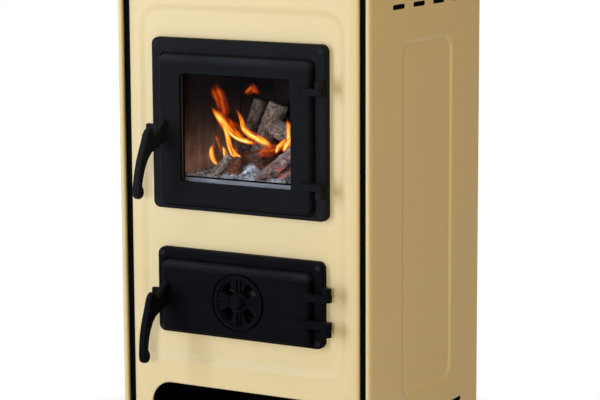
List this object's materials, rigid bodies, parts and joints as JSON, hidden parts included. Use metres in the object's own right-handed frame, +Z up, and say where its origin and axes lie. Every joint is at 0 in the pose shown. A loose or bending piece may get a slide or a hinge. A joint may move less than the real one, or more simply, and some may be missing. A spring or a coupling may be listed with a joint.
{
  "type": "wood stove",
  "caption": "Upright enamelled wood stove with a windowed cast firebox door, an ash door with a turning air rosette, lever handles, a wood niche, a hob and a flue collar.",
  "frame": {"origin": "on the floor, under the middle of the stove's box", "axes": "+Z up, -Y towards the doors, +X to the right as seen from the front"},
  "size_m": [0.414, 0.442, 0.784],
  "materials": {
    "cream_enamel": "gloss enamel",
    "black_cast_iron": "matt stove black",
    "black_sheet": "satin black",
    "inner_steel": "sooty steel",
    "firebrick": "rough brick",
    "stove_glass": "clear",
    "seal_rope": "woven glass rope",
    "bright_steel": "zinc plated"
  },
  "bodies": {
    "stove": {"ash_chamber_back_wall": "inner_steel", "ash_chamber_left_wall": "inner_steel", "ash_chamber_right_wall": "inner_steel", "ash_door_frame": "black_cast_iron", "ash_floor": "inner_steel", "ash_frame_screws": "bright_steel", "ash_hinge_pins": "bright_steel", "ash_pan": "inner_steel", "back_panel": "black_sheet", "back_panel_screws": "bright_steel", "baffle_plate": "firebrick", "base_plate": "black_sheet", "feet": "black_sheet", "firebox_back_wall": "inner_steel", "firebox_door_frame": "black_cast_iron", "firebox_floor": "inner_steel", "firebox_frame_screws": "bright_steel", "firebox_hinge_pins": "bright_steel", "firebox_left_wall": "inner_steel", "firebox_right_wall": "inner_steel", "firebrick_back": "firebrick", "firebrick_left": "firebrick", "firebrick_right": "firebrick", "flue_bolts": "bright_steel", "flue_collar": "black_cast_iron", "front_panel": "cream_enamel", "grate": "black_cast_iron", "inner_front_plate": "black_sheet", "left_corner_channel": "black_sheet", "left_side_panel": "cream_enamel", "niche_left_wall": "black_sheet", "niche_right_wall": "black_sheet", "niche_roof": "black_sheet", "right_corner_channel": "black_sheet", "right_side_panel": "cream_enamel", "top_plate": "black_cast_iron"},
    "firebox_door": {"firebox_door_leaf": "black_cast_iron", "window_glass": "stove_glass", "glass_gasket": "seal_rope", "glass_rail": "bright_steel", "glass_clips": "bright_steel", "firebox_door_rope": "seal_rope"},
    "firebox_handle": {"firebox_handle": "black_cast_iron", "firebox_handle_ring": "bright_steel"},
    "ash_door": {"ash_door_leaf": "black_cast_iron", "ash_door_rope": "seal_rope", "rosette_spindle": "black_cast_iron"},
    "ash_handle": {"ash_handle": "black_cast_iron", "ash_handle_ring": "bright_steel"},
    "air_rosette": {"air_rosette": "black_cast_iron"},
    "hob_ring": {"hob_ring": "black_cast_iron"},
    "hob_lid": {"hob_lid": "black_cast_iron"}
  },
  "joints": [
    {"name": "firebox_door_swing", "type": "hinge", "parent": "stove", "child": "firebox_door", "pos_m": [0.137, -0.155, 0.5], "axis": [0, 0, 1], "range_deg": [0, 105]},
    {"name": "firebox_handle_lift", "type": "hinge", "parent": "firebox_door", "child": "firebox_handle", "pos_m": [-0.115, -0.155, 0.497], "axis": [0, 1, 0], "range_deg": [-10, 34]},
    {"name": "ash_door_swing", "type": "hinge", "parent": "stove", "child": "ash_door", "pos_m": [0.147, -0.155, 0.2585], "axis": [0, 0, 1], "range_deg": [0, 105]},
    {"name": "ash_handle_lift", "type": "hinge", "parent": "ash_door", "child": "ash_handle", "pos_m": [-0.114, -0.155, 0.264], "axis": [0, 1, 0], "range_deg": [-10, 20]},
    {"name": "air_rosette_turn", "type": "hinge", "parent": "ash_door", "child": "air_rosette", "pos_m": [0.0045, -0.155, 0.2585], "axis": [0, 1, 0], "range_deg": [0, 45]},
    {"name": "hob_ring_lift", "type": "slide", "parent": "stove", "child": "hob_ring", "axis": [0, 0, 1], "range_m": [0, 0.06]},
    {"name": "hob_lid_lift", "type": "slide", "parent": "hob_ring", "child": "hob_lid", "axis": [0, 0, 1], "range_m": [0, 0.06]}
  ]
}
